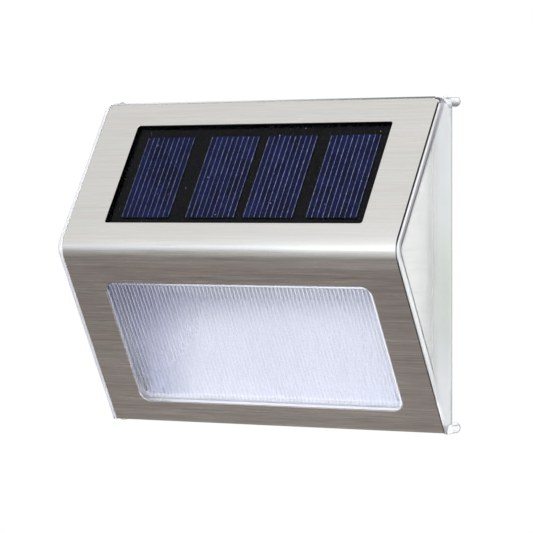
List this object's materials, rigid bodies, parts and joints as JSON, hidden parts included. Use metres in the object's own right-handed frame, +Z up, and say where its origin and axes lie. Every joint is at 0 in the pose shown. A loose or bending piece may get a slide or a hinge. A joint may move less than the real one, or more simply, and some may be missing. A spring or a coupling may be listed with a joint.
{
  "type": "solar step light",
  "caption": "Wedge-shaped wall light with a folded brushed steel cover over a clear housing, a solar panel on the upper slope and a fluted lens on the lower slope.",
  "frame": {"origin": "centre of the housing's rear plane, in the middle of the four corner pegs", "axes": "+X across the light, +Y into the wall, +Z up; the front faces -Y"},
  "size_m": [0.12, 0.0397, 0.101],
  "materials": {
    "steel": "brushed stainless sheet, grain across the width",
    "adhesive": "clear adhesive film",
    "clear_plastic": "clear moulded plastic",
    "lens_plastic": "clear fluted plastic, slightly milky",
    "seal_rubber": "soft silicone",
    "panel_black": "black board",
    "solar_cell": "dark blue silicon with fine silver fingers",
    "panel_resin": "clear resin",
    "foam_tape": "white foam tape",
    "reflector": "silvery white reflector plastic",
    "board_white": "white coated board",
    "led": "white package with yellow phosphor",
    "board_green": "green coated board",
    "chip": "moulded black package",
    "coil": "lacquered coil body",
    "ceramic": "ceramic block",
    "nickel": "nickel plated sheet",
    "black_plastic": "black moulded plastic",
    "knob_black": "black moulded knob",
    "cell_can": "nickel plated can",
    "cell_sleeve": "plain green shrink sleeve",
    "cover_plastic": "pale moulded plastic, fine texture",
    "screw_steel": "zinc plated steel",
    "wire_red": "red insulation",
    "wire_black": "black insulation"
  },
  "bodies": {
    "light": {"steel_cover": "steel", "cover_adhesive": "adhesive", "clear_housing": "clear_plastic", "ribbed_lens": "lens_plastic", "lens_seal": "seal_rubber", "panel_board": "panel_black", "solar_cells": "solar_cell", "panel_resin": "panel_resin", "panel_tape": "foam_tape", "reflector_chassis": "reflector", "led_board": "board_white", "leds": "led", "control_board": "board_green", "driver_chip": "chip", "inductor": "coil", "capacitor": "ceramic", "switch_shell": "nickel", "switch_base": "black_plastic", "switch_pins": "nickel", "battery_holder": "black_plastic", "holder_tape": "foam_tape", "battery_cell": "cell_can", "battery_sleeve": "cell_sleeve", "battery_leaf": "nickel", "battery_plate": "nickel", "back_cover": "cover_plastic", "back_gasket": "seal_rubber", "cover_screws": "screw_steel", "board_screws": "screw_steel", "panel_lead_red": "wire_red", "panel_lead_black": "wire_black", "battery_lead_red": "wire_red", "battery_lead_black": "wire_black", "led_lead_red": "wire_red", "led_lead_black": "wire_black"},
    "knob": {"switch_knob": "knob_black"}
  },
  "joints": [
    {"name": "switch_slide", "type": "slide", "parent": "light", "child": "knob", "axis": [1, 0, 0], "range_m": [0, 0.002]}
  ]
}
